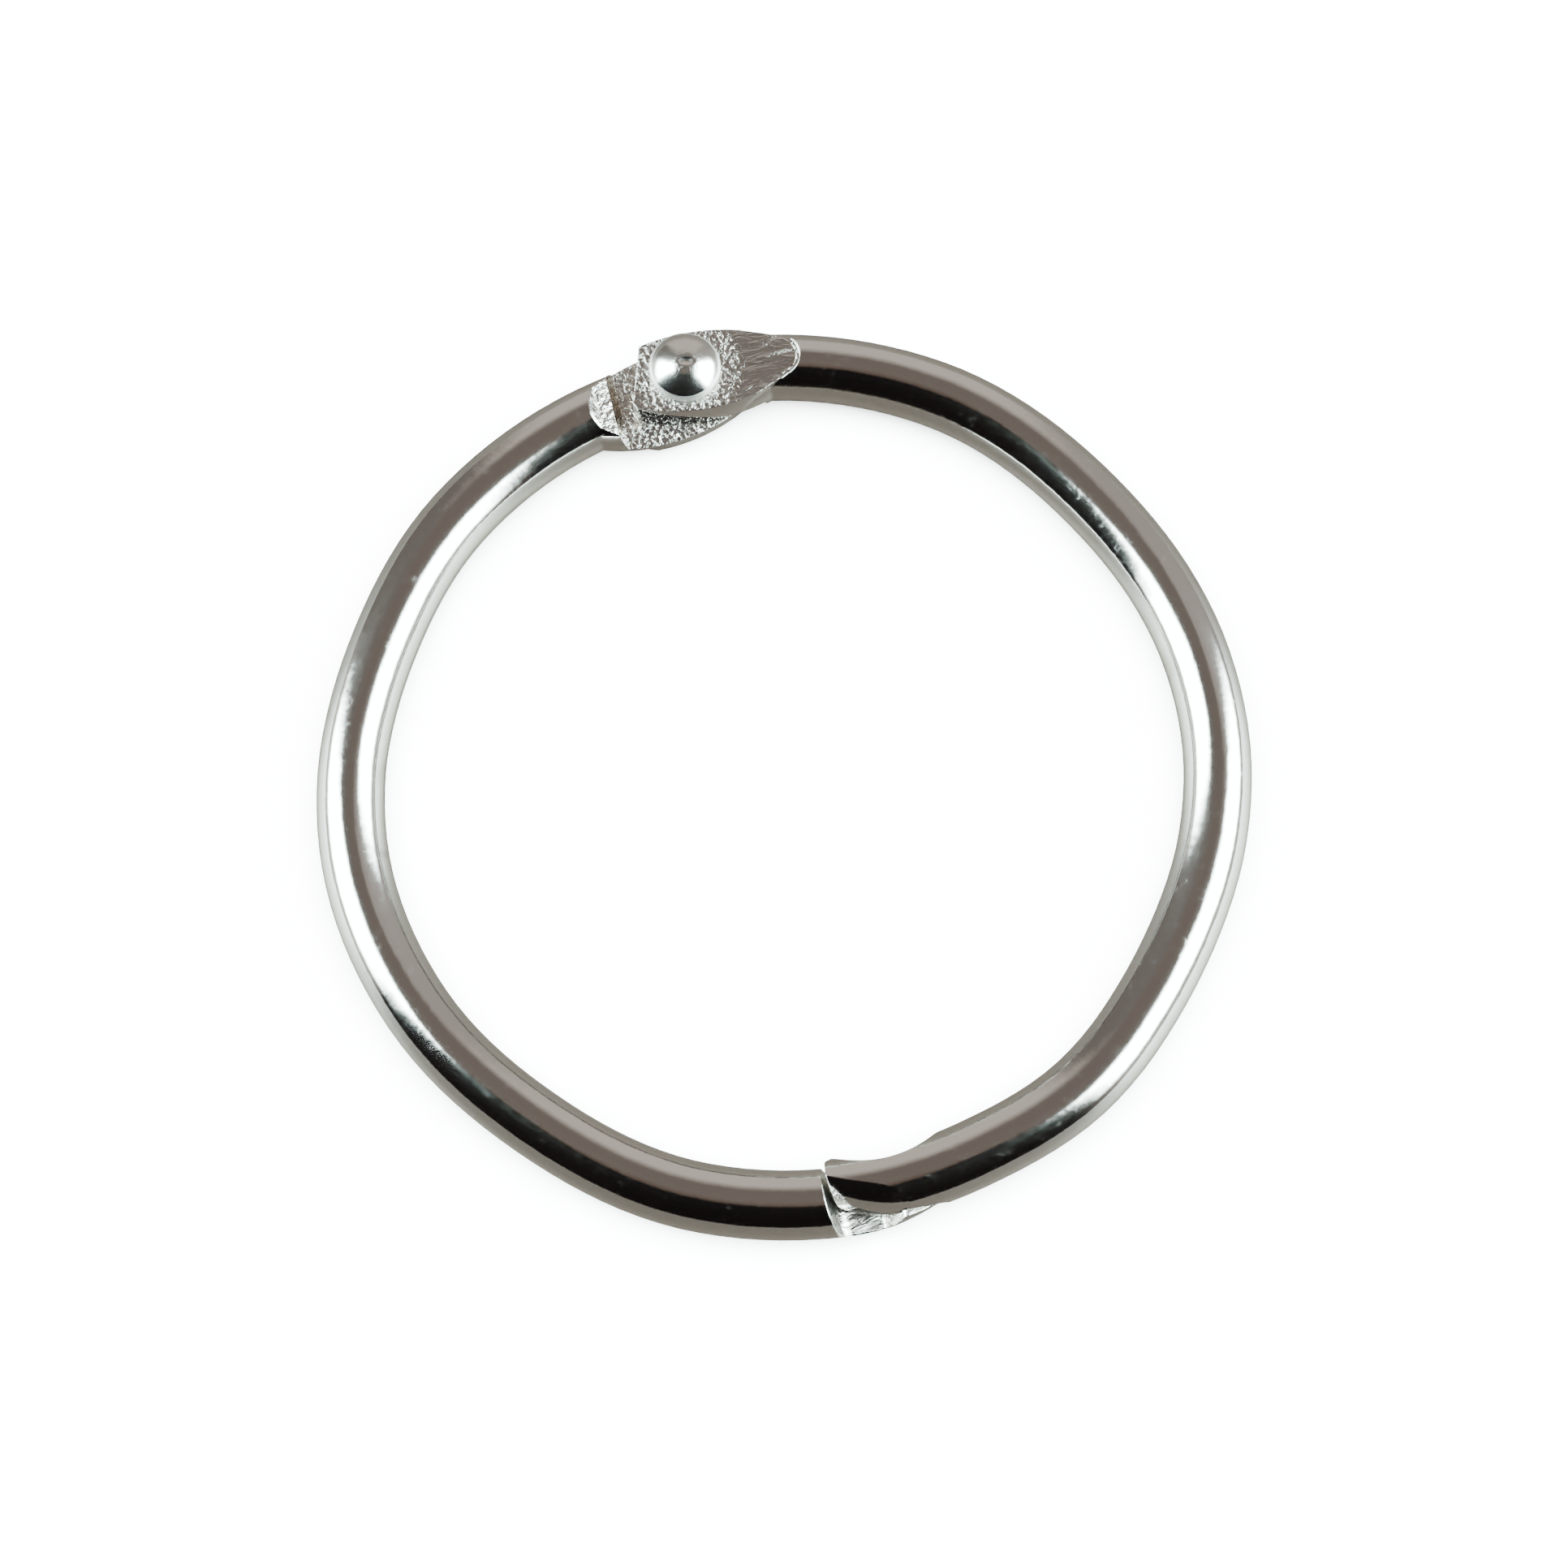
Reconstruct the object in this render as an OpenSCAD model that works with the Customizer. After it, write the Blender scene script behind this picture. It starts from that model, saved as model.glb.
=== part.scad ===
// Hinged loose-leaf ring, closed and lying flat.
//
// Two half rings of round wire are riveted together at one end, where both are coined to flat tongues,
// and snap together at the other, where both are cut to a hooked half lap. The second half is the
// first one turned over about the line from latch to hinge, so hinge and latch lie on the Y axis.
// The origin is the ring's centre, on the surface that the wire rests on, and +Z is up.

/* [Ring] */
// Radius of the bend, from the ring's centre to the middle of the wire
bend_r = 27.2; // [20:0.1:40]
// Diameter of the wire
wire_d = 4.3; // [4:0.05:4.6]
// How far each half has crept along the line from latch to hinge, one down and one up
slip = 0.28; // [0:0.02:0.4]

/* [Hinge tongues] */
// Thickness over both tongues, from one outer flat to the other
hinge_t = 3.3; // [2.9:0.05:3.5]
// Running gap between the two tongues
lap_gap = 0.12; // [0.08:0.01:0.16]
// Radius in plan of a tongue's outer edge
outer_flank_r = 13.5; // [11:0.5:20]
// How far that edge swells past the wire's
flare_out = 0.55; // [0.1:0.05:0.8]
// Radius in plan of a tongue's inner edge
inner_flank_r = 12.5; // [11:0.5:20]
// How far the left tongue's inner edge swells past the wire's
left_flare_in = 1.4; // [0.8:0.05:1.8]
// Distance from the rivet's axis back to the crest of that swelling
left_crest = 2.4; // [0.5:0.1:3]
// How far the right tongue's inner edge swells past the wire's
right_flare_in = 1.1; // [0.8:0.05:1.8]
// Distance from the rivet's axis back to the crest of that swelling
right_crest = 1.4; // [1.4:0.2:2.4]
// How far a tongue's sides bulge between its flat and the middle of the wire
side_bulge = 0.3; // [0.1:0.05:0.45]
// Distance from the rivet's axis to a tongue's free end
tongue_end = 3.1; // [2.6:0.1:3.5]
// Angle of the free end, which is longer on the inner side
end_skew = 18; // [0:1:25]
// Radius about the rivet's axis that rounds the left tongue's corner
left_corner_r = 4.65; // [3.6:0.05:5]
// Radius about the rivet's axis that rounds the right tongue's corner
right_corner_r = 4.1; // [3.6:0.05:5]

/* [Shoulders] */
// Distance from the rivet's axis to the foot of the shoulder's wall
shoulder_at = 4.6; // [4.4:0.05:5]
// How far the shoulder's wall leans back from its foot
shoulder_lean = 0.5; // [0:0.05:0.8]
// Depth of the first step below the top of the wire
step_depth = 0.5; // [0.2:0.05:0.8]
// Length of the land between the first step and the shoulder's wall
step_land = 1; // [0.4:0.1:2]
// Fall of that land towards the wall
land_fall = 0.3; // [0:0.05:0.5]
// Distance from the rivet's axis to the round end of the outer flat
flat_end = 7.4; // [6.5:0.1:9]
// Radius of that end
flat_r = 1.4; // [1.2:0.05:1.8]
// How far that end's middle lies outside the bend line
flat_out = 0.2; // [0:0.05:0.3]
// Angle at which each side of the flat spreads from that end
flat_spread = 22; // [18:1:25]

/* [Rivet] */
// How far the rivet's axis lies outside the bend line
rivet_out = 0.3; // [0:0.05:0.6]
// Diameter of the rivet's shank
shank_d = 2.4; // [1.8:0.05:2.8]
// Radial clearance of the shank in the two bores
bore_clear = 0.05; // [0.02:0.01:0.1]
// Diameter of the rivet's head
head_d = 4.6; // [3.8:0.05:5]
// Height of the head's straight rim
head_rim = 0.3; // [0.1:0.05:0.5]
// Height of the head's dome over that rim
head_h = 1.1; // [0.7:0.05:1.5]
// Play under the head
head_play = 0.1; // [0.06:0.01:0.16]
// Diameter of the peened tail
tail_d = 3.8; // [3.2:0.1:4.4]
// Play over the tail
tail_play = 0.05; // [0.02:0.01:0.1]

/* [Latch] */
// Length of the lap, from one end wall to the other at mid height
latch_len = 7; // [7:0.1:7.6]
// Height of the hook's crest above the middle of the wire, and depth of its foot below it
hook_h = 0.8; // [0.6:0.05:1]
// Height of a tip's end above the middle of the wire, and depth of the root it faces
root_h = 0.3; // [0:0.05:0.5]
// Length of the hook's ramp
ramp_len = 1.3; // [0.9:0.05:1.8]
// Play along the wire between the two ramps
ramp_play = 0.1; // [0.05:0.01:0.2]
// Lean of the end walls, over the height of the wire
wall_lean = 0.9; // [0.5:0.1:1.5]
// Radius at the foot of an end wall
root_r = 1; // [0.6:0.1:1.1]
// Radius on the end of a tip, which nests in that foot
tip_r = 1; // [0.6:0.1:1]
// Radius on the crest and the foot of the hook
edge_r = 0.25; // [0.1:0.05:0.3]
// Gap between a tip and the wall it faces
tip_gap = 0.35; // [0.2:0.05:0.5]
// Depth of the hollow in the inner side, behind the hook
waist = 0.8; // [0.4:0.02:0.9]
// Distance of that hollow's middle behind the hook
waist_at = 0.5; // [0.2:0.1:1]
// Radius of that hollow
waist_r = 6.2; // [5.6:0.2:8]
// Distance behind the latch line at which a tip's outer side starts to taper
taper_at = 2; // [1:0.1:3]
// Radius in plan of the left tip's outer side
left_taper_r = 14; // [8:0.5:25]
// Radius in plan of the right tip's outer side
right_taper_r = 10; // [8:0.5:25]
// Radius in plan of the left tip's outer corner
left_nose_r = 0.8; // [0.5:0.1:2]
// Radius in plan of the right tip's outer corner
right_nose_r = 1.2; // [0.5:0.1:2]
// Radius in plan of a tip's inner corner
nose_in_r = 0.6; // [0.4:0.1:1]
// How far that corner stays clear of the bend's inner side
nose_in = 0.25; // [0.1:0.05:0.4]

/* [Hidden] */
$fn = 96;
nickel = [0.78, 0.76, 0.73];
big = 20;                                   // reach of a cutting block past the wire
wire_r = wire_d / 2;
hinge_y = bend_r + rivet_out;
flat_z = hinge_t / 2;                       // height of an outer flat from the middle of the wire
lap_z = lap_gap / 2;                        // each lap face lies this far from the middle
bore_r = shank_d / 2 + bore_clear;
land_z = wire_r - step_depth;
wall_x = shoulder_at + shoulder_lean;       // top of the shoulder's wall, from the rivet's axis
land_x = wall_x + step_land;
latch_half = latch_len / 2;
lean_rate = wall_lean / wire_d;
hair = 0.02;                                // makes an arc cross its edges, and not just touch them
ease = 0.1;                                 // keeps round rims from just touching the wire's top

// Distance from the ring's centre line to a circle of radius r about the ring's centre
function arc_y(r, x) = sqrt(r * r - x * x);

function unit(v) = v / norm(v);
function prior(points, i) = points[(i + len(points) - 1) % len(points)];
function next(points, i) = points[(i + 1) % len(points)];
function half_corner(points, i) =
    acos(unit(prior(points, i) - points[i]) * unit(next(points, i) - points[i])) / 2;
function turns_left(points, i) =
    cross(points[i] - prior(points, i), next(points, i) - points[i]) > 0;
function arc_centre(points, i, r) =
    points[i] + unit(unit(prior(points, i) - points[i]) + unit(next(points, i) - points[i]))
    * r / sin(half_corner(points, i));
function tangents(points, i, r) =
    [for (q = [prior(points, i), next(points, i)])
        points[i] + unit(q - points[i]) * r / tan(half_corner(points, i))];

// A counter-clockwise polygon with true arcs at the corners whose radius isn't 0
module soft_polygon(points, radii) {
    corners = [for (i = [0 : len(points) - 1]) if (radii[i] > 0) i];
    difference() {
        union() {
            polygon([for (i = [0 : len(points) - 1])
                each radii[i] > 0 ? tangents(points, i, radii[i]) : [points[i]]]);
            for (i = corners)
                if (turns_left(points, i))
                    translate(arc_centre(points, i, radii[i])) circle(radii[i] - hair);
        }
        for (i = corners)
            if (!turns_left(points, i))
                translate(arc_centre(points, i, radii[i])) circle(radii[i] - hair);
    }
}

// Stands a profile in X and Z up on the line through hinge and latch, across the wire at y
module across(y) {
    translate([0, y, 0])
        rotate([90, 0, 0]) linear_extrude(big, center = true) children();
}

// The round wire of the left half, from the foot of its shoulder to its tip
module bent_wire() {
    start = 90 + asin(shoulder_at / bend_r);
    end = 270 + asin((latch_half + wall_lean) / bend_r);
    rotate([0, 0, start])
        rotate_extrude(angle = end - start) translate([bend_r, 0]) circle(wire_r);
}

// A solid disc with a rounded rim, cut flat half_t above and below its middle
module round_disc(r, rim_r, half_t) {
    core_r = r - rim_r + sqrt(rim_r * rim_r - half_t * half_t);
    rotate_extrude() {
        translate([0, -half_t]) square([core_r, 2 * half_t]);
        intersection() {
            translate([r - rim_r, 0]) circle(rim_r);
            translate([core_r, -half_t]) square([r - core_r, 2 * half_t]);
        }
    }
}

// Where two such discs meet: a lens in plan, which runs out inside the wire
module lens(flare_in, crest, rim_r, half_t) {
    intersection() {
        translate([0, bend_r + wire_r + flare_out - outer_flank_r, 0])
            round_disc(outer_flank_r, rim_r, half_t);
        translate([-crest, bend_r - wire_r - flare_in + inner_flank_r, 0])
            round_disc(inner_flank_r, rim_r, half_t);
    }
}

// The outline of the left tongue's outer flat: a wedge whose point is round, grown by a margin
module flat_outline(margin) {
    r = flat_r + margin;
    side = (r - ease / 4) * [-sin(flat_spread), cos(flat_spread)];
    reach = side + big * [cos(flat_spread), sin(flat_spread)];
    centre_x = flat_end - flat_r;
    translate([-centre_x, arc_y(bend_r, centre_x) + flat_out]) {
        circle(r);
        polygon([side, [side[0], -side[1]], [reach[0], -reach[1]], reach]);
    }
}

// The coined end of the left half: a swelling as round as the wire, and the square-edged pad under
// its flat; both stand a little past that flat, which is cut later
module tongue(flare_in, crest) {
    pad_t = flat_z + ease;
    pad_rim = (pad_t * pad_t + side_bulge * side_bulge) / (2 * side_bulge);
    lens(flare_in, crest, wire_r, wire_r - ease);
    intersection() {
        lens(flare_in, crest, pad_rim, pad_t);
        translate([0, 0, -wire_d]) linear_extrude(wire_d) flat_outline(0);
    }
}

// What is trimmed off a tongue past the rivet: a skewed end and a corner rounded about the rivet
module tongue_trim(corner_r) {
    translate([0, hinge_y, -wire_d])
        linear_extrude(2 * wire_d) difference() {
            translate([0, -big / 2]) square(big);
            intersection() {
                circle(corner_r);
                rotate(end_skew) translate([tongue_end - big, -big / 2]) square(big);
            }
        }
}

// The space over the left tongue: its lap face, the shoulder's wall, the land and the first step
module lap_cut() {
    across(hinge_y)
        polygon([
            [-shoulder_at, -lap_z],
            [big / 2, -lap_z],
            [big / 2, wire_d],
            [-land_x - wire_d + land_z, wire_d],
            [-land_x, land_z],
            [-wall_x, land_z - land_fall],
        ]);
}

// The space under the left tongue's outer flat
module flat_cut() {
    translate([0, 0, -wire_r - ease])
        linear_extrude(wire_r + ease - flat_z) flat_outline(ease / 2);
}

function wall_at(z) = -latch_half - lean_rate * z;

// The space over the left half's hook: end wall, falling floor, ramp, falling crest and tip's end
module hook_cut() {
    ramp_x = ramp_play / 2;
    root_z = -root_h - lap_z;
    end_z = root_h - lap_z;
    across(-bend_r)
        soft_polygon([
            [wall_at(wire_d), wire_d],
            [wall_at(root_z), root_z],
            [ramp_x - ramp_len / 2, -hook_h - lap_z],
            [ramp_x + ramp_len / 2, hook_h - lap_z],
            [-wall_at(-end_z) - tip_gap, end_z],
            [-wall_at(wire_d) - tip_gap, -wire_d],
            [big / 2, -wire_d],
            [big / 2, wire_d],
        ], [0, root_r, edge_r, edge_r, tip_r, 0, 0, 0]);
}

// The hollow in the inner side of the left half, behind its hook
module waist_cut() {
    rotate([0, 0, -asin(waist_at / bend_r)])
        translate([0, -(bend_r - wire_r + waist - waist_r), -wire_d])
            cylinder(h = 2 * wire_d, r = waist_r);
}

// What is trimmed off the left half's tip: its outer side tapers and both corners are round in plan
module nose_trim(taper_r, nose_r) {
    taper_y = taper_r - bend_r - wire_r;
    end_x = latch_half + wall_lean / 2 - tip_gap;
    out_x = end_x - nose_r;
    out_y = taper_y - arc_y(taper_r + ease - nose_r, out_x + taper_at);
    in_x = end_x - nose_in_r;
    in_y = -arc_y(bend_r - wire_r, end_x) - nose_in - nose_in_r;
    difference() {
        translate([-taper_at, -bend_r - big / 2, -wire_d]) cube([big, big, 2 * wire_d]);
        intersection() {
            translate([-taper_at, taper_y, 0]) round_disc(taper_r, wire_r + ease, wire_r + ease);
            translate([0, 0, -wire_d]) linear_extrude(2 * wire_d) {
                translate([out_x, out_y]) circle(nose_r);
                translate([in_x, in_y]) circle(nose_in_r);
                translate([-taper_at, taper_y])
                    rotate(atan2(out_x + taper_at, taper_y - out_y))
                        translate([-big, -big]) square([big, 2 * big]);
                translate([out_x - big, out_y]) square([big + nose_r, in_y - out_y]);
                translate([in_x - big, out_y]) square([big, big]);
            }
        }
    }
}

// The left half about the middle of its wire; creep moves its bend along Y but not its rivet
module half_ring(creep, flare_in, crest, corner_r, taper_r, nose_r) {
    difference() {
        translate([0, creep, 0]) difference() {
            union() {
                bent_wire();
                tongue(flare_in, crest);
            }
            flat_cut();
            waist_cut();
            nose_trim(taper_r, nose_r);
        }
        lap_cut();
        hook_cut();
        tongue_trim(corner_r);
        translate([0, hinge_y, -wire_d]) cylinder(h = 2 * wire_d, r = bore_r);
    }
}

module left_half() {
    color(nickel) translate([0, 0, wire_r])
        half_ring(-slip, left_flare_in, left_crest, left_corner_r, left_taper_r, left_nose_r);
}

// The same stamping, turned over about the line from latch to hinge
module right_half() {
    color(nickel) translate([0, 0, wire_r]) rotate([0, 180, 0])
        half_ring(slip, right_flare_in, right_crest, right_corner_r, right_taper_r, right_nose_r);
}

// Domed head over the right tongue, shank through both and peened tail under the left one
module rivet() {
    head_z = flat_z + head_play;
    head_r = head_d / 2;
    dome_r = (head_r * head_r + head_h * head_h) / (2 * head_h);
    tail_z = -flat_z - tail_play;
    tail_r = tail_d / 2;
    tail_h = wire_r + tail_z;
    tail_dome_r = (tail_r * tail_r + tail_h * tail_h) / (2 * tail_h);
    dome_z = head_z + head_rim;
    color(nickel) translate([0, hinge_y, wire_r]) {
        translate([0, 0, tail_z]) cylinder(h = head_z - tail_z, r = shank_d / 2);
        translate([0, 0, head_z]) cylinder(h = head_rim, r = head_r);
        rotate_extrude() intersection() {
            translate([0, dome_z + head_h - dome_r]) circle(dome_r);
            translate([0, dome_z]) square([head_r, head_h]);
        }
        rotate_extrude() intersection() {
            translate([0, tail_dome_r - wire_r]) circle(tail_dome_r);
            translate([0, -wire_r]) square([tail_r, tail_h]);
        }
    }
}

left_half();
right_half();
rivet();
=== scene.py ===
import math

import bmesh
import bpy
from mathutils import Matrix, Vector


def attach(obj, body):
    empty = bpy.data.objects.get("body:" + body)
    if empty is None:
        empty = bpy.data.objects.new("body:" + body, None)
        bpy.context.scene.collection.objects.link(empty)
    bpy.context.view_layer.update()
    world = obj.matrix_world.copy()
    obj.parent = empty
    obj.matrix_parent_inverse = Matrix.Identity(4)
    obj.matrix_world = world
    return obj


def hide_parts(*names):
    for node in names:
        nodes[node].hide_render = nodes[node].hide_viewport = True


# Hinged binder ring in bright nickel, lying closed on a pale table.

print("ring: loading the solids")
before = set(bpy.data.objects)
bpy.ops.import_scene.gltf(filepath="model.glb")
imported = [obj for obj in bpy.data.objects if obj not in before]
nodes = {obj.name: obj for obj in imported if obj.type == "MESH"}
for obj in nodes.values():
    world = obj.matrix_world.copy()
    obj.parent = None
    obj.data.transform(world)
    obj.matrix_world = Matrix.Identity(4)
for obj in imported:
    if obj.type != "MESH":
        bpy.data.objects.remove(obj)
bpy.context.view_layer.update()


# small helpers for node trees

def newGroup(name, inputs, outputs):
    tree = bpy.data.node_groups.new(name, "ShaderNodeTree")
    for label, kind, value in inputs:
        made = tree.interface.new_socket(label, in_out="INPUT", socket_type=kind)
        if value is not None:
            made.default_value = value
    for label, kind in outputs:
        tree.interface.new_socket(label, in_out="OUTPUT", socket_type=kind)
    return tree, tree.nodes.new("NodeGroupInput"), tree.nodes.new("NodeGroupOutput")


def put(tree, kind, **settings):
    node = tree.nodes.new(kind)
    for key, value in settings.items():
        setattr(node, key, value)
    return node


def feed(tree, target, value):
    if hasattr(value, "is_output"):
        tree.links.new(value, target)
    else:
        target.default_value = value


def maths(tree, operation, first, second=None, third=None, clamp=False):
    node = put(tree, "ShaderNodeMath", operation=operation, use_clamp=clamp)
    for slot, value in zip(node.inputs, (first, second, third)):
        if value is not None:
            feed(tree, slot, value)
    return node.outputs[0]


def ramp(tree, value, low, high, fromLow=0.0, fromHigh=1.0):
    # smooth step of value between low and high
    node = put(tree, "ShaderNodeMapRange", interpolation_type="SMOOTHSTEP")
    feed(tree, node.inputs["Value"], value)
    for label, amount in (("From Min", low), ("From Max", high),
                          ("To Min", fromLow), ("To Max", fromHigh)):
        feed(tree, node.inputs[label], amount)
    return node.outputs[0]


def mixColour(tree, factor, first, second):
    # a mix node keeps its colours in sockets 6 and 7, and its plain values in 2 and 3
    node = put(tree, "ShaderNodeMix", data_type="RGBA")
    feed(tree, node.inputs[0], factor)
    feed(tree, node.inputs[6], first)
    feed(tree, node.inputs[7], second)
    return node.outputs[2]


def mixValue(tree, factor, first, second):
    node = put(tree, "ShaderNodeMix", data_type="FLOAT")
    feed(tree, node.inputs[0], factor)
    feed(tree, node.inputs[2], first)
    feed(tree, node.inputs[3], second)
    return node.outputs[0]


def noise(tree, place, scale, detail, distortion=0.0, roughness=0.5):
    node = put(tree, "ShaderNodeTexNoise")
    feed(tree, node.inputs["Vector"], place)
    feed(tree, node.inputs["Scale"], scale)
    node.inputs["Detail"].default_value = detail
    node.inputs["Distortion"].default_value = distortion
    node.inputs["Roughness"].default_value = roughness
    return node.outputs[0]


def split(tree, vector):
    node = put(tree, "ShaderNodeSeparateXYZ")
    feed(tree, node.inputs[0], vector)
    return node.outputs


def useGroup(tree, group, **values):
    node = put(tree, "ShaderNodeGroup", node_tree=group)
    for label, value in values.items():
        feed(tree, node.inputs[label.replace("_", " ")], value)
    return node.outputs


print("ring: building the shared effects")


def reach(node, axis):
    places = [vert.co[axis] for vert in nodes[node].data.vertices]
    return min(places), max(places)


def measureRing():
    # the wire's radius, the radius it is bent to and the rivet's place along y, in metres
    bottom, top = reach("left_half", 2)
    outside = reach("right_half", 0)[1]
    front, back = reach("rivet", 1)
    wireRadius = (top - bottom) / 2
    return {
        "wireRadius": wireRadius,
        "bendRadius": outside - wireRadius,
        "rivetY": (front + back) / 2,
    }


ringForm = measureRing()

# where the wire was stamped or cut, in metres; a range is where a mask fades in or out
workedFaces = {
    "cutBelow": (0.00204, 0.00211),  # from the wire's middle, less than its own radius
    "padHeight": (0.00168, 0.00176),  # above and below the wire's middle
    "padLevel": (0.90, 0.97),  # how level a face lies, 1 for flat
    "slopeLevel": (0.25, 0.35),
    "lapLevel": (0.15, 0.25),
    "wallFacing": (0.70, 0.80),  # how squarely a face looks along x
    "hingeFrom": (0.0, 0.001),
    "endsWithin": (0.0085, 0.0095),
    "flatEnd": (0.0060, 0.02673),  # middle of the round end of the outer flat
    "flatEndWall": (0.00114, 0.00128),  # from that middle
    "flatEndFrom": (0.0056, 0.0062),
}


def makeWorkedMask(form, faces):
    # near 1 on flats, steps and laps, 0 on round wire; Lap Side is 1 for the half whose lap faces
    # up and -1 for the other; Wall marks the upright faces and End Wall the curved step where a
    # flat runs out into the wire
    tree, given, result = newGroup(
        "stampedFaces",
        [("Position", "NodeSocketVector", None), ("Normal", "NodeSocketVector", None),
         ("Creep", "NodeSocketFloat", None), ("Lap Side", "NodeSocketFloat", None)],
        [("Mask", "NodeSocketFloat"), ("Rivet Distance", "NodeSocketFloat"),
         ("Wall", "NodeSocketFloat"), ("End Wall", "NodeSocketFloat")])

    def both(first, second):
        return maths(tree, "MULTIPLY", first, second)

    def either(first, second):
        return maths(tree, "MAXIMUM", first, second)

    def distance(first, second):
        return maths(tree, "SQRT", maths(tree, "ADD", both(first, first), both(second, second)))

    def over(value, limits):
        return ramp(tree, value, *limits)

    def under(value, limits):
        return ramp(tree, value, *limits, 1.0, 0.0)

    x, y, z = split(tree, given.outputs["Position"])
    aside = maths(tree, "ABSOLUTE", x)
    bendY = maths(tree, "SUBTRACT", y, given.outputs["Creep"])
    across = maths(tree, "SUBTRACT", distance(x, bendY), form["bendRadius"])
    height = maths(tree, "SUBTRACT", z, form["wireRadius"])
    cutIn = under(distance(across, height), faces["cutBelow"])

    facing = split(tree, given.outputs["Normal"])
    level = maths(tree, "ABSOLUTE", facing[2])
    wall = over(maths(tree, "ABSOLUTE", facing[0]), faces["wallFacing"])
    nearHinge = over(y, faces["hingeFrom"])
    low = under(maths(tree, "ABSOLUTE", height), faces["padHeight"])
    pad = both(over(level, faces["padLevel"]), low)
    sloped = both(cutIn, either(over(level, faces["slopeLevel"]), wall))
    hinge = both(either(sloped, pad), nearHinge)
    lap = either(over(both(facing[2], given.outputs["Lap Side"]), faces["lapLevel"]), wall)
    latch = both(both(cutIn, lap), maths(tree, "SUBTRACT", 1.0, nearHinge))
    atEnds = under(aside, faces["endsWithin"])
    feed(tree, result.inputs["Mask"], both(maths(tree, "ADD", hinge, latch), atEnds))
    feed(tree, result.inputs["Rivet Distance"],
         distance(x, maths(tree, "SUBTRACT", y, form["rivetY"])))
    feed(tree, result.inputs["Wall"], both(wall, hinge))

    fromEnd = distance(maths(tree, "SUBTRACT", aside, faces["flatEnd"][0]),
                       maths(tree, "SUBTRACT", bendY, faces["flatEnd"][1]))
    endWall = both(over(fromEnd, faces["flatEndWall"]), over(aside, faces["flatEndFrom"]))
    feed(tree, result.inputs["End Wall"], both(endWall, hinge))
    return tree


def makeScuffs():
    # fine handling marks in patches: a little roughness, a shallow waviness and a finer ripple
    tree, given, result = newGroup(
        "fineScuffs",
        [("Position", "NodeSocketVector", None), ("Size", "NodeSocketFloat", None),
         ("Amount", "NodeSocketFloat", None), ("Ripple", "NodeSocketFloat", 0.09)],
        [("Rough", "NodeSocketFloat"), ("Wave", "NodeSocketFloat")])
    place, size = given.outputs["Position"], given.outputs["Size"]
    coarser, finer = 0.22, 4.5  # times Size, for the patches and for the ripple
    fine = noise(tree, place, size, detail=6.0, roughness=0.65)
    patches = noise(tree, place, maths(tree, "MULTIPLY", size, coarser), detail=3.0)
    ripple = noise(tree, place, maths(tree, "MULTIPLY", size, finer), detail=1.0)
    spots = ramp(tree, fine, 0.52, 0.72)  # only the finer noise's peaks
    where = ramp(tree, patches, 0.45, 0.65)  # about half of the surface
    feed(tree, result.inputs["Rough"],
         maths(tree, "MULTIPLY", maths(tree, "MULTIPLY", spots, where), given.outputs["Amount"]))
    fray = maths(tree, "MULTIPLY", maths(tree, "MULTIPLY", ripple, where), given.outputs["Ripple"])
    feed(tree, result.inputs["Wave"], maths(tree, "ADD", patches, fray))
    return tree


def makeStamping():
    # crinkled surface of a coined face: grainy near the rivet, streaked along x further out
    tree, given, result = newGroup(
        "stampedGrain",
        [("Position", "NodeSocketVector", None), ("Grain", "NodeSocketFloat", 3300.0),
         ("Streaks", "NodeSocketFloat", 1700.0), ("Streaky", "NodeSocketFloat", 0.0),
         ("Streak Depth", "NodeSocketFloat", 1.4)],
        [("Height", "NodeSocketFloat")])
    place = given.outputs["Position"]
    grain = noise(tree, place, given.outputs["Grain"], detail=3.0, distortion=0.6)
    stretch = put(tree, "ShaderNodeVectorMath", operation="MULTIPLY")
    feed(tree, stretch.inputs[0], place)
    stretch.inputs[1].default_value = (0.28, 1.0, 1.0)  # drawn out along x
    streaks = noise(tree, stretch.outputs[0], given.outputs["Streaks"], detail=4.0,
                    distortion=1.2)
    streaks = maths(tree, "MULTIPLY", streaks, given.outputs["Streak Depth"])
    feed(tree, result.inputs["Height"], mixValue(tree, given.outputs["Streaky"], grain, streaks))
    return tree


workedMask = makeWorkedMask(ringForm, workedFaces)
fineScuffs = makeScuffs()
stampedGrain = makeStamping()


def roundedNormal(tree, height, edgeRadius):
    # bump over edges that are shaded as slightly rounded
    soft = put(tree, "ShaderNodeBevel", samples=6)
    soft.inputs["Radius"].default_value = edgeRadius
    bump = put(tree, "ShaderNodeBump")
    bump.inputs["Strength"].default_value = 1.0
    bump.inputs["Distance"].default_value = 1.0
    feed(tree, bump.inputs["Height"], height)
    feed(tree, bump.inputs["Normal"], soft.outputs[0])
    return bump.outputs[0]


wireFinish = {
    "nickel": (0.80, 0.775, 0.74, 1.0),
    "stampedNickel": (0.76, 0.735, 0.69, 1.0),
    # painted shade on the upright walls at the hinge: its dark brown colour, then how strongly it
    # is laid on
    "paintedWallShade": (0.20, 0.14, 0.10, 1.0),
    "paintedShadeStrength": 0.92,
    "roughness": 0.10,
    "scuffSize": 2200.0,
    "scuffRoughness": 0.12,
    "stampedRoughness": 0.16,
    "latchRoughness": 0.20,  # the lap at the latch is frosted, with a shallower grain
    "latchGrain": 0.65,
    "latchEdge": (-0.001, 0.001),  # where the latch's finish gives way to the hinge's, along y
    "streakFade": 0.0013,
    "grainDepth": 0.000105,
    "endWallDepth": 0.00009,
    "waveDepth": 0.00002,
    "edgeRadius": 0.00011,
}


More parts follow.
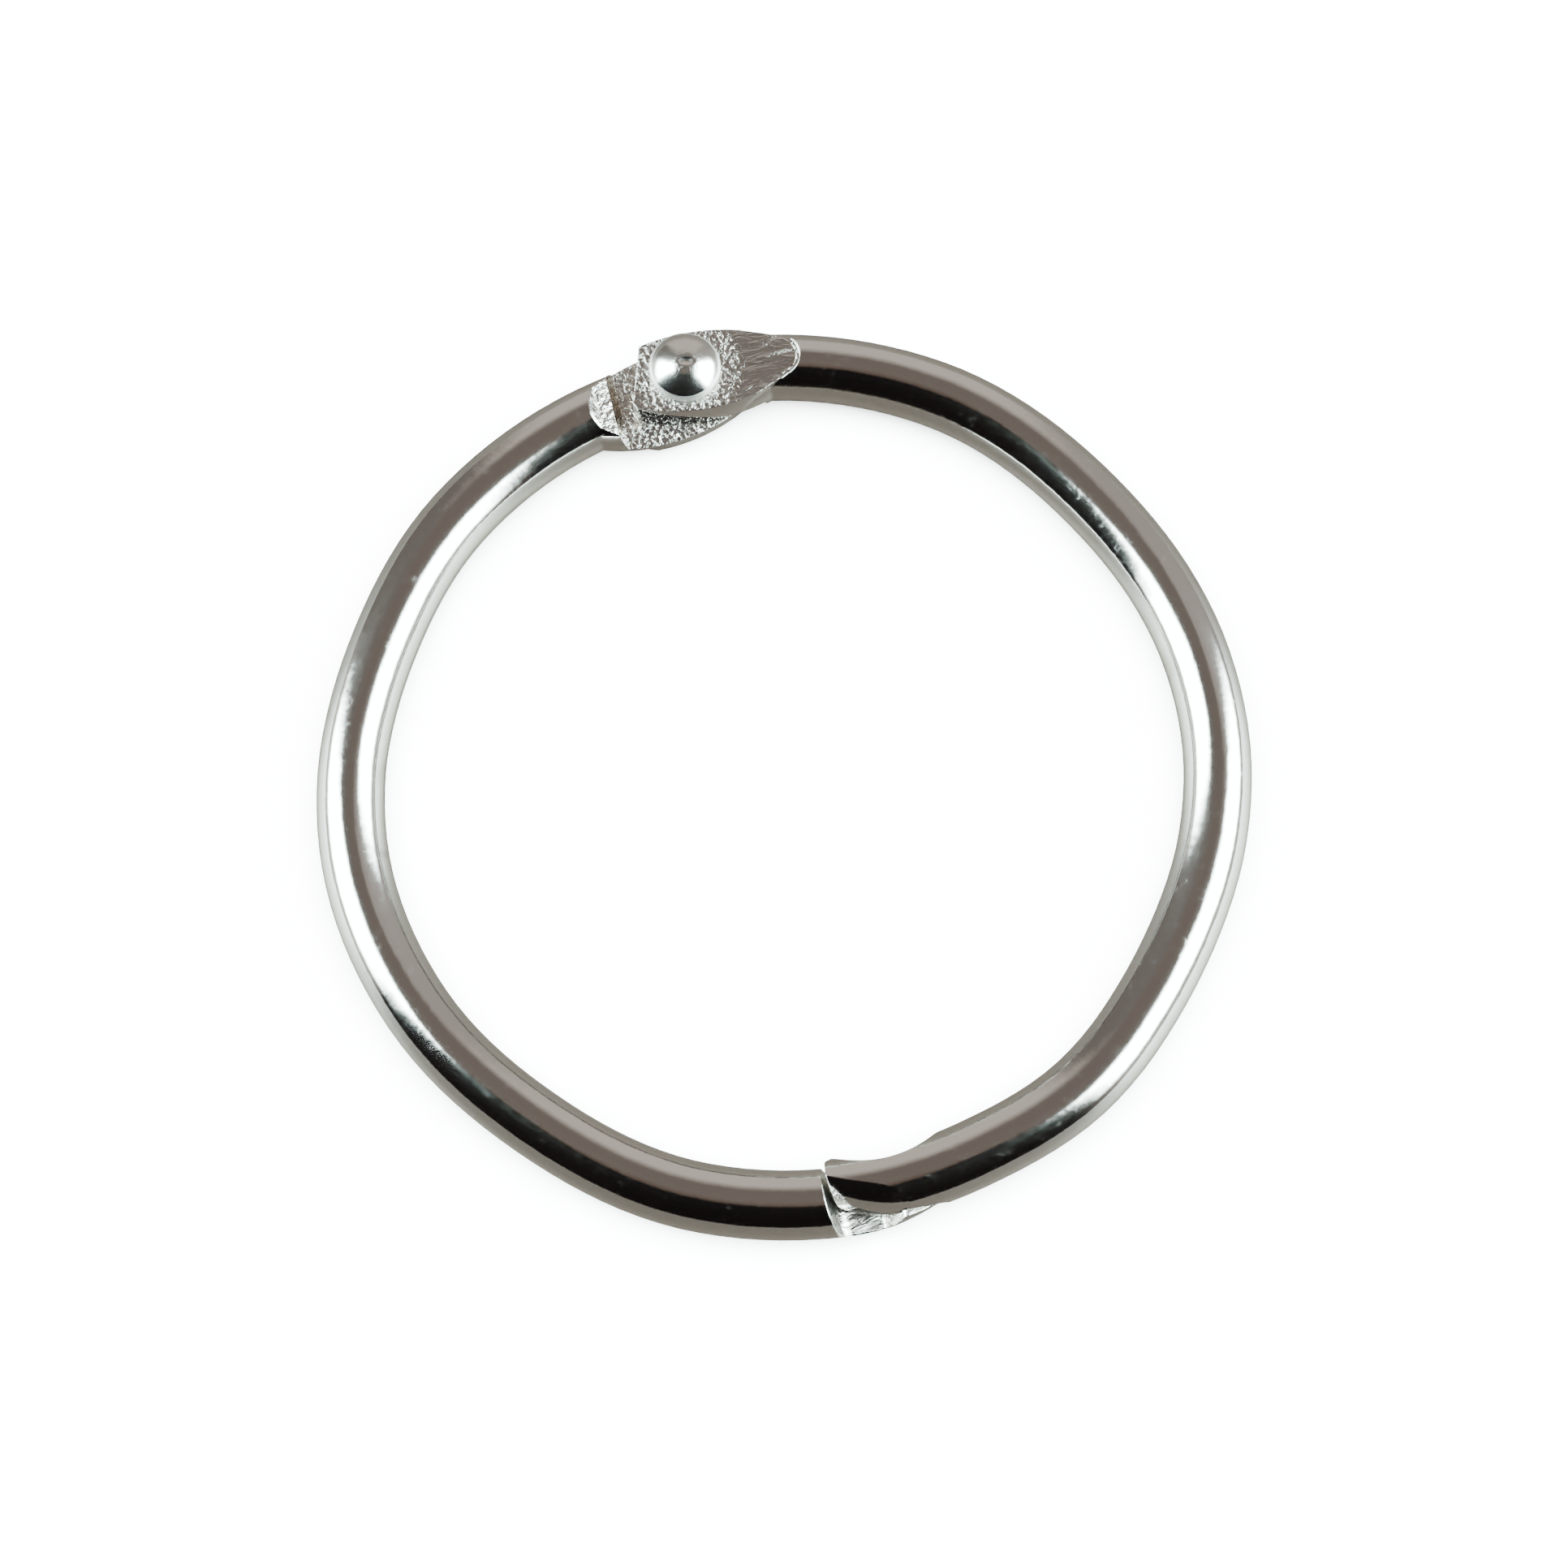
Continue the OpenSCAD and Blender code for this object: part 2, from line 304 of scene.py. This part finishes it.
def makeWireFinish(name, half, look):
    material = bpy.data.materials.new(name)
    material.use_nodes = True
    tree = material.node_tree
    shader = tree.nodes["Principled BSDF"]
    spot = put(tree, "ShaderNodeTexCoord").outputs
    place, facing = spot["Object"], spot["Normal"]
    mask = useGroup(tree, workedMask, Position=place, Normal=facing, Creep=half["creep"],
                    Lap_Side=half["lapSide"])
    worked, endWall = mask["Mask"], mask["End Wall"]
    scuffs = useGroup(tree, fineScuffs, Position=place, Size=look["scuffSize"],
                      Amount=look["scuffRoughness"])
    streaky = ramp(tree, mask["Rivet Distance"], half["streaksFrom"],
                   half["streaksFrom"] + look["streakFade"])
    streaky = maths(tree, "SUBTRACT", streaky, endWall, clamp=True)
    grain = useGroup(tree, stampedGrain, Position=place, Streaky=streaky)

    colour = mixColour(tree, worked, look["nickel"], look["stampedNickel"])
    # painted shade: the upright walls at the hinge are darkened towards brown, except the curved
    # end wall
    paintedShade = maths(tree, "MULTIPLY", mask["Wall"], look["paintedShadeStrength"])
    paintedShade = maths(tree, "MULTIPLY", paintedShade, maths(tree, "SUBTRACT", 1.0, endWall))
    feed(tree, shader.inputs["Base Color"], mixColour(tree, paintedShade, colour, look["paintedWallShade"]))
    shader.inputs["Metallic"].default_value = 1.0

    atLatch = ramp(tree, split(tree, place)[1], *look["latchEdge"], 1.0, 0.0)
    smooth = maths(tree, "ADD", scuffs["Rough"], look["roughness"])
    stamped = mixValue(tree, atLatch, look["stampedRoughness"], look["latchRoughness"])
    feed(tree, shader.inputs["Roughness"], mixValue(tree, worked, smooth, stamped))

    depth = mixValue(tree, endWall, look["grainDepth"], look["endWallDepth"])
    depth = maths(tree, "MULTIPLY", depth, mixValue(tree, atLatch, 1.0, look["latchGrain"]))
    pits = maths(tree, "MULTIPLY", maths(tree, "MULTIPLY", grain["Height"], worked), depth)
    height = maths(tree, "MULTIPLY_ADD", scuffs["Wave"], look["waveDepth"], pits)
    feed(tree, shader.inputs["Normal"], roundedNormal(tree, height, look["edgeRadius"]))
    return material


rivetFinish = {
    "nickel": (0.82, 0.80, 0.77, 1.0),
    "roughness": 0.17,
    "scuffSize": 2600.0,
    "scuffRoughness": 0.2,
    "waveDepth": 0.00003,
    "edgeRadius": 0.00015,
    "rim": (0.00210, 0.00218),  # from the rivet's axis, where the duller rim fades in
    "rimRoughness": 0.30,
    "domeHeight": 0.0011,
    "domeRings": 36,
    "footSlack": 1e-6,  # metres, for telling the dome's points from those of its foot
    "sharpFrom": 30.0,  # degrees between faces
    # the mark left on the dome by the riveting tool: its middle, half length and half width, turn
    # in radians and depth, and from its middle where the bruise starts to fade and where it ends
    "dentMiddle": (0.0001, 0.02745, 0.0053),
    "dentHalf": (0.00074, 0.00035),
    "dentTurn": -0.2,
    "dentDepth": 0.00015,
    "bruiseReach": (0.00048, 0.0012),
    "bruiseDepth": 0.00003,
}


def makeRivetFinish(look):
    material = bpy.data.materials.new("rivetNickel")
    material.use_nodes = True
    tree = material.node_tree
    shader = tree.nodes["Principled BSDF"]
    place = put(tree, "ShaderNodeTexCoord").outputs["Object"]
    scuffs = useGroup(tree, fineScuffs, Position=place, Size=look["scuffSize"],
                      Amount=look["scuffRoughness"])
    grain = useGroup(tree, stampedGrain, Position=place)
    shader.inputs["Base Color"].default_value = look["nickel"]
    shader.inputs["Metallic"].default_value = 1.0

    outward = put(tree, "ShaderNodeVectorMath", operation="MULTIPLY_ADD")
    feed(tree, outward.inputs[0], place)
    outward.inputs[1].default_value = (1, 1, 0)
    outward.inputs[2].default_value = (0, -ringForm["rivetY"], 0)
    fromAxis = put(tree, "ShaderNodeVectorMath", operation="LENGTH")
    feed(tree, fromAxis.inputs[0], outward.outputs[0])
    rim = ramp(tree, fromAxis.outputs["Value"], *look["rim"])
    rough = maths(tree, "ADD", scuffs["Rough"], look["roughness"])
    feed(tree, shader.inputs["Roughness"],
         maths(tree, "MULTIPLY_ADD", rim, look["rimRoughness"], rough))

    fromDent = put(tree, "ShaderNodeVectorMath", operation="DISTANCE")
    feed(tree, fromDent.inputs[0], place)
    fromDent.inputs[1].default_value = look["dentMiddle"]
    bruise = ramp(tree, fromDent.outputs["Value"], *look["bruiseReach"], 1.0, 0.0)
    bruised = maths(tree, "MULTIPLY", bruise, grain["Height"])
    height = maths(tree, "MULTIPLY", scuffs["Wave"], look["waveDepth"])
    height = maths(tree, "MULTIPLY_ADD", bruised, look["bruiseDepth"], height)
    feed(tree, shader.inputs["Normal"], roundedNormal(tree, height, look["edgeRadius"]))
    return material


# creep is how far a half's bend lies along y from the ring's middle, and streaksFrom how far from
# the rivet its grain turns to streaks, in metres; lapSide is 1 where the latch's lap faces up and
# -1 where it faces down; strays are the places between the worked ends where the wire leaves a
# true circle: degrees round the ring, half width in degrees, and metres out (in, if below 0)
halves = {
    "left_half": {
        "creep": -0.00028,
        "lapSide": 1.0,
        "streaksFrom": 0.0095,
        "strays": ((147.0, 20.0, -0.00024), (180.0, 24.0, 0.00021), (222.0, 24.0, -0.00036)),
    },
    "right_half": {
        "creep": 0.00028,
        "lapSide": -1.0,
        "streaksFrom": 0.0031,
        "strays": ((298.0, 16.0, 0.00024), (321.0, 16.0, -0.00014), (350.0, 24.0, 0.00018),
                   (30.0, 26.0, -0.00038)),
    },
}


def makeStrayTree(count):
    # moves the wire in and out round the ring by a rule, and leaves the hinge and latch alone
    tree = bpy.data.node_groups.new("strayingWire", "GeometryNodeTree")
    sockets = {}
    tree.interface.new_socket("Geometry", in_out="INPUT", socket_type="NodeSocketGeometry")
    for stray in range(1, count + 1):
        for label in ("Angle", "Half Width", "Outward"):
            made = tree.interface.new_socket(f"{label} {stray}", in_out="INPUT",
                                             socket_type="NodeSocketFloat")
            sockets[(label, stray)] = made.identifier
    made = tree.interface.new_socket("Finish", in_out="INPUT", socket_type="NodeSocketMaterial")
    sockets["Finish"] = made.identifier
    tree.interface.new_socket("Geometry", in_out="OUTPUT", socket_type="NodeSocketGeometry")
    given, result = tree.nodes.new("NodeGroupInput"), tree.nodes.new("NodeGroupOutput")

    x, y = split(tree, put(tree, "GeometryNodeInputPosition").outputs[0])[:2]
    bearing = maths(tree, "DEGREES", maths(tree, "ARCTAN2", y, x))
    outward = 0.0
    for stray in range(1, count + 1):
        away = maths(tree, "SUBTRACT", bearing, given.outputs[f"Angle {stray}"])
        away = maths(tree, "ABSOLUTE", maths(tree, "WRAP", away, 180.0, -180.0))
        near = ramp(tree, away, 0.0, given.outputs[f"Half Width {stray}"], 1.0, 0.0)
        outward = maths(tree, "MULTIPLY_ADD", near, given.outputs[f"Outward {stray}"], outward)
    flat = put(tree, "ShaderNodeCombineXYZ")
    feed(tree, flat.inputs[0], x)
    feed(tree, flat.inputs[1], y)
    unit = put(tree, "ShaderNodeVectorMath", operation="NORMALIZE")
    feed(tree, unit.inputs[0], flat.outputs[0])
    offset = put(tree, "ShaderNodeVectorMath", operation="SCALE")
    feed(tree, offset.inputs[0], unit.outputs[0])
    feed(tree, offset.inputs["Scale"], outward)
    moved = put(tree, "GeometryNodeSetPosition")
    tree.links.new(given.outputs["Geometry"], moved.inputs["Geometry"])
    feed(tree, moved.inputs["Offset"], offset.outputs[0])
    real = put(tree, "GeometryNodeRealizeInstances")
    tree.links.new(moved.outputs[0], real.inputs[0])
    plated = put(tree, "GeometryNodeSetMaterial")
    tree.links.new(real.outputs[0], plated.inputs["Geometry"])
    tree.links.new(given.outputs["Finish"], plated.inputs["Material"])
    tree.links.new(plated.outputs[0], result.inputs["Geometry"])
    return tree, sockets


joinWithin = 1e-7  # metres between the loose corners of a solid's triangles


def mergedCopy(source):
    # the solid's loose triangles are joined where they meet, and keep their exact normals
    mesh = source.copy()
    exact = mesh.attributes.new("exactNormal", "FLOAT_VECTOR", "CORNER")
    exact.data.foreach_set("vector", [part for corner in source.corner_normals
                                      for part in corner.vector])
    shape = bmesh.new()
    shape.from_mesh(mesh)
    bmesh.ops.remove_doubles(shape, verts=shape.verts, dist=joinWithin)
    shape.to_mesh(mesh)
    shape.free()
    exact = mesh.attributes["exactNormal"]
    normals = [tuple(corner.vector) for corner in exact.data]
    mesh.attributes.remove(exact)
    mesh.normals_split_custom_set(normals)
    return mesh


print("ring: drawing the wire of the two halves")
strayTree, straySockets = makeStrayTree(max(len(half["strays"]) for half in halves.values()))


def drawWire(node, half):
    finish = makeWireFinish(node + "Nickel", half, wireFinish)
    blank = mergedCopy(nodes[node].data)
    blank.materials.clear()
    blank.materials.append(finish)
    for face in blank.polygons:
        face.material_index = 0
    wire = bpy.data.objects.new(node + "Wire", blank)
    bpy.context.collection.objects.link(wire)
    bend = wire.modifiers.new("stray", "NODES")
    bend.node_group = strayTree
    for stray, (angle, halfWidth, outward) in enumerate(half["strays"], 1):
        bend[straySockets[("Angle", stray)]] = angle
        bend[straySockets[("Half Width", stray)]] = halfWidth
        bend[straySockets[("Outward", stray)]] = outward
    bend[straySockets["Finish"]] = finish
    drawn = bpy.data.meshes.new_from_object(
        wire.evaluated_get(bpy.context.evaluated_depsgraph_get()))
    wire.modifiers.remove(bend)
    wire.data = drawn
    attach(wire, node)  # each half is a body of its own name
    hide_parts(node)


for node, half in halves.items():
    drawWire(node, half)

print("ring: striking the rivet")


def pressedIn(x, y, look):
    # depth of the tool's mark at a place on the dome
    dx, dy = x - look["dentMiddle"][0], y - look["dentMiddle"][1]
    turn = look["dentTurn"]
    along = dx * math.cos(turn) + dy * math.sin(turn)
    across = dy * math.cos(turn) - dx * math.sin(turn)
    halfLength, halfWidth = look["dentHalf"]
    fromMiddle = (along / halfLength) ** 2 + (across / halfWidth) ** 2
    return look["dentDepth"] * max(0.0, 1.0 - fromMiddle) ** 2


def strikeRivet(look):
    # the solid's dome is drawn again in fine rings, with the tool's mark pressed into it
    shape = bmesh.new()
    shape.from_mesh(nodes["rivet"].data)
    bmesh.ops.remove_doubles(shape, verts=shape.verts, dist=joinWithin)
    top = max(vert.co.z for vert in shape.verts)
    foot = top - look["domeHeight"] - look["footSlack"]
    dome = [face for face in shape.faces if min(vert.co.z for vert in face.verts) > foot]
    bmesh.ops.delete(shape, geom=dome, context="FACES")
    axis = Vector((0, ringForm["rivetY"], 0))
    rim = [vert for vert in shape.verts if vert.co.z > foot]
    rim.sort(key=lambda vert: math.atan2(vert.co.y - axis.y, vert.co.x))
    spokes = [(vert.co - axis).to_2d() for vert in rim]
    footRadius = max(spoke.length for spoke in spokes)
    domeRadius = (footRadius ** 2 + look["domeHeight"] ** 2) / (2 * look["domeHeight"])

    def onDome(x, y, radius):
        z = top - domeRadius + math.sqrt(domeRadius ** 2 - radius ** 2) - pressedIn(x, y, look)
        return shape.verts.new((x, y, z))

    outer = rim
    for ring in range(1, look["domeRings"]):
        share = 1 - ring / look["domeRings"]
        inner = [onDome(spoke.x * share, axis.y + spoke.y * share, footRadius * share)
                 for spoke in spokes]
        for i in range(len(rim)):
            j = (i + 1) % len(rim)
            shape.faces.new((outer[i], outer[j], inner[j], inner[i]))
        outer = inner
    crown = onDome(0, axis.y, 0)
    for i in range(len(rim)):
        shape.faces.new((outer[i], outer[(i + 1) % len(rim)], crown))

    for face in shape.faces:
        face.smooth = True
        face.material_index = 0
    mesh = bpy.data.meshes.new("closingRivet")
    shape.to_mesh(mesh)
    shape.free()
    # the solid's own normals don't fit the new dome
    if "custom_normal" in mesh.attributes:
        mesh.attributes.remove(mesh.attributes["custom_normal"])
    mesh.set_sharp_from_angle(angle=math.radians(look["sharpFrom"]))
    mesh.materials.append(makeRivetFinish(look))
    rivet = bpy.data.objects.new("closingRivet", mesh)
    bpy.context.collection.objects.link(rivet)
    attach(rivet, "rivet")
    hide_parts("rivet")


strikeRivet(rivetFinish)


# lengths in metres, the view's two angles in degrees
studio = {
    "floor": (0.93, 0.93, 0.93, 1.0),
    "mirroredFloor": (0.0125, 0.0108, 0.0093, 1.0),
    "floorRoughness": 0.42,
    "floorShine": 1.0,
    "floorShineTint": (1.0, 0.88, 0.76, 1.0),
    "floorHalf": 0.6,
    "floorDrop": 0.00002,  # clear of the wire, so the two don't share a plane
    "viewAzimuth": -13.4,
    "viewElevation": 73.7,
    "viewDistance": 0.2742,
    "aimDrop": 0.00058,
    "lens": 100.0,
    "overheadWatts": 75.0,
    "overheadSize": 0.7,
    "overheadHeight": 0.6,
    "air": (0.182, 0.154, 0.138, 1.0),  # mirrored wherever no panel stands
    "backdrop": (20.0, 20.0, 20.0, 1.0),
}

# what the plating mirrors, later ones on top: middle and half width round the ring, bottom and
# top above the table, how soft its edges are, all in degrees, then how bright; 0 degrees round
# lies to the viewer's right and 90 is the far side
surroundings = {
    "farWall": (90.0, 34.0, -90.0, 46.0, 13.0, (0.66, 0.61, 0.55, 1.0)),
    "rightFarGap": (43.0, 17.0, -90.0, 66.0, 6.0, (0.42, 0.38, 0.355, 1.0)),
    "leftFarGap": (135.0, 15.0, -90.0, 75.0, 6.0, (0.172, 0.155, 0.143, 1.0)),
    "viewerTop": (258.0, 64.0, 71.0, 82.0, 6.0, (0.14, 0.098, 0.076, 1.0)),
    "viewerSide": (258.0, 64.0, -90.0, 74.0, 4.0, (0.007, 0.005, 0.005, 1.0)),
    "leftBase": (171.0, 23.0, -90.0, 14.0, 4.0, (0.88, 0.84, 0.78, 1.0)),
    "leftSoftbox": (172.8, 20.0, 14.0, 61.0, 6.0, (24.0, 30.0, 30.0, 1.0)),
    "rightBase": (-2.0, 29.0, -90.0, 16.0, 4.0, (0.62, 0.58, 0.54, 1.0)),
    "rightSoftbox": (-1.5, 29.5, 15.0, 57.0, 6.5, (24.0, 30.0, 30.0, 1.0)),
}

print("ring: setting the table and the studio")


def makeFloor(look):
    half = look["floorHalf"]
    mesh = bpy.data.meshes.new("table")
    mesh.from_pydata([(-half, -half, 0), (half, -half, 0), (half, half, 0), (-half, half, 0)],
                     [], [(0, 1, 2, 3)])
    table = bpy.data.objects.new("table", mesh)
    bpy.context.collection.objects.link(table)
    table.location = (0, 0, -look["floorDrop"])
    material = bpy.data.materials.new("paleTable")
    material.use_nodes = True
    tree = material.node_tree
    shader = tree.nodes["Principled BSDF"]
    # the plating sees a darker table than the viewer does, so the wire keeps its dark edges
    mirrored = put(tree, "ShaderNodeLightPath").outputs["Is Glossy Ray"]
    feed(tree, shader.inputs["Base Color"],
         mixColour(tree, mirrored, look["floor"], look["mirroredFloor"]))
    shader.inputs["Roughness"].default_value = look["floorRoughness"]
    shader.inputs["Specular IOR Level"].default_value = look["floorShine"]
    shader.inputs["Specular Tint"].default_value = look["floorShineTint"]
    mesh.materials.append(material)


makeFloor(studio)


def addOverhead(look):
    # lights the table alone, so the plating mirrors only the surroundings
    light = bpy.data.lights.new("overhead", "AREA")
    light.size = look["overheadSize"]
    light.energy = look["overheadWatts"]
    lamp = bpy.data.objects.new("overhead", light)
    bpy.context.collection.objects.link(lamp)
    lamp.location = (0, 0, look["overheadHeight"])
    lamp.visible_glossy = False


addOverhead(studio)


def makeStudioAir(look, panels):
    world = bpy.data.worlds.new("studioAir")
    bpy.context.scene.world = world
    world.use_nodes = True
    tree = world.node_tree
    x, y, z = split(tree, put(tree, "ShaderNodeTexCoord").outputs["Generated"])
    bearing = maths(tree, "DEGREES", maths(tree, "ARCTAN2", y, x))
    above = maths(tree, "DEGREES", maths(tree, "ARCSINE", z))
    colour = look["air"]
    for middle, halfWidth, bottom, top, soft, tone in panels.values():
        turned = maths(tree, "SUBTRACT", bearing, middle + look["viewAzimuth"])
        off = maths(tree, "ABSOLUTE", maths(tree, "WRAP", turned, 180.0, -180.0))
        inside = ramp(tree, off, halfWidth - soft, halfWidth + soft, 1.0, 0.0)
        over = ramp(tree, above, bottom - soft, bottom + soft)
        under = ramp(tree, above, top - soft, top + soft, 1.0, 0.0)
        inside = maths(tree, "MULTIPLY", inside, maths(tree, "MULTIPLY", over, under))
        colour = mixColour(tree, inside, colour, tone)
    # the viewer sees a plain pale backdrop past the table's edge
    seen = put(tree, "ShaderNodeLightPath").outputs["Is Camera Ray"]
    colour = mixColour(tree, seen, colour, look["backdrop"])
    feed(tree, tree.nodes["Background"].inputs["Color"], colour)


makeStudioAir(studio, surroundings)


def addCamera(look):
    data = bpy.data.cameras.new("viewer")
    data.lens = look["lens"]
    camera = bpy.data.objects.new("viewer", data)
    bpy.context.collection.objects.link(camera)
    bpy.context.scene.camera = camera
    a = math.radians(look["viewAzimuth"])
    e = math.radians(look["viewElevation"])
    toViewer = Vector((math.sin(a) * math.cos(e), -math.cos(a) * math.cos(e), math.sin(e)))
    across = Vector((math.cos(a), math.sin(a), 0))
    aim = Vector((0, 0, ringForm["wireRadius"])) - toViewer.cross(across) * look["aimDrop"]
    camera.location = aim + toViewer * look["viewDistance"]
    camera.rotation_euler = (camera.location - aim).to_track_quat("Z", "Y").to_euler()


addCamera(studio)

print("ring: done")
